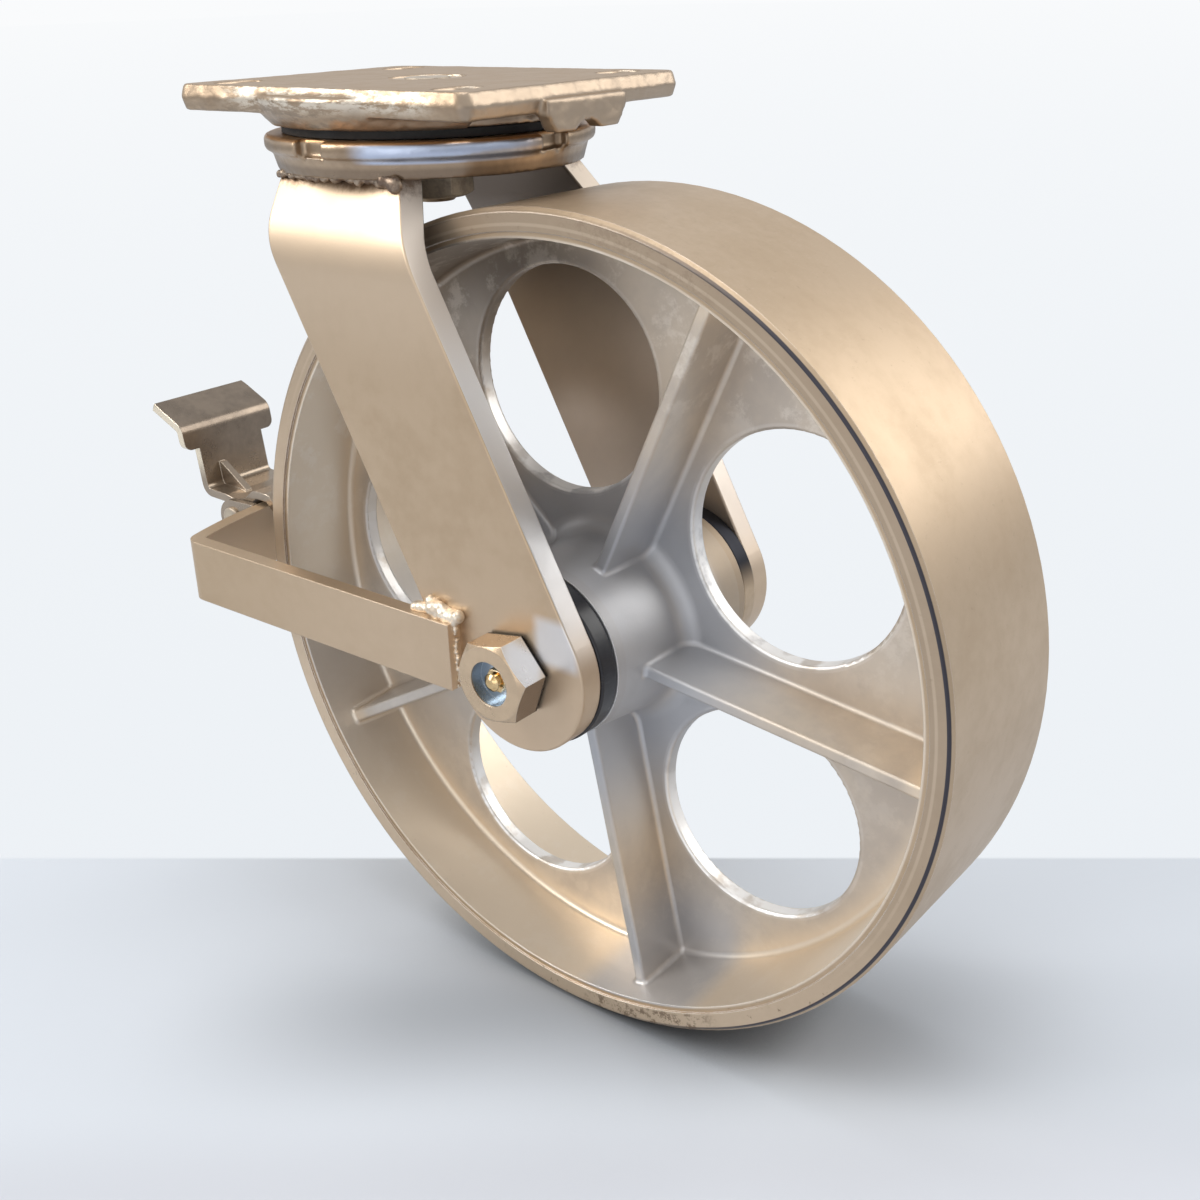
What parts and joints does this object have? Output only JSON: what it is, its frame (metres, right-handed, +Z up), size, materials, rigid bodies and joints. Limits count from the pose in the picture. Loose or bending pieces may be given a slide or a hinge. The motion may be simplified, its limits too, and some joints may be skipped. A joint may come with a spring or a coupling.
{
  "type": "heavy duty plate castor",
  "caption": "Swivel plate castor with a round-holed, ribbed cast wheel in a flat-bar fork, an axle bolt with a grease nipple, and a foot brake on a U-shaped band.",
  "frame": {"origin": "centre of the top plate's upper face, on the swivel axis", "axes": "+Z up along the swivel axis, +X towards the trailing wheel, Y along the axle, with the axle bolt's head at -Y"},
  "size_m": [0.3862, 0.1445, 0.3345],
  "materials": {
    "cast_wheel": "satin",
    "forged_steel": "satin",
    "plated_bar": "satin",
    "plated_sheet": "satin",
    "weld_metal": "rough",
    "zinc_steel": "satin",
    "pin_steel": "satin",
    "ball_steel": "polished",
    "cage_steel": "satin",
    "brass": "satin",
    "dark_washer": "satin",
    "black_seal": "matte"
  },
  "bodies": {
    "mount_head": {"top_plate": "forged_steel", "king_pin": "pin_steel", "king_pin_nut": "zinc_steel", "main_balls": "ball_steel", "lower_race": "ball_steel", "swivel_seal": "black_seal"},
    "fork": {"fork_base": "forged_steel", "fork_leg_near": "plated_bar", "fork_leg_far": "plated_bar", "leg_welds": "weld_metal", "spanner_bushing": "ball_steel", "thrust_washer_near": "dark_washer", "thrust_washer_far": "dark_washer", "axle_bolt": "zinc_steel", "axle_nut": "zinc_steel", "axle_nut_washer": "zinc_steel", "grease_nipple": "brass", "brake_band": "plated_bar", "band_welds": "weld_metal", "lever_bracket": "plated_sheet", "lever_pin": "zinc_steel", "pin_clip": "zinc_steel"},
    "wheel_set": {"wheel": "cast_wheel", "bearing_rollers": "ball_steel", "bearing_cage": "cage_steel"},
    "lever": {"brake_lever": "plated_sheet"}
  },
  "joints": [
    {"name": "swivel", "type": "hinge", "parent": "mount_head", "child": "fork", "pos_m": [0, 0, -0.0145], "axis": [0, 0, 1], "continuous": true},
    {"name": "wheel_spin", "type": "hinge", "parent": "fork", "child": "wheel_set", "pos_m": [0.0775, 0, -0.1845], "axis": [0, 1, 0], "continuous": true},
    {"name": "brake_lever_turn", "type": "hinge", "parent": "fork", "child": "lever", "pos_m": [-0.1165, 0, -0.181], "axis": [0, -1, 0], "range_deg": [0, 20]}
  ]
}
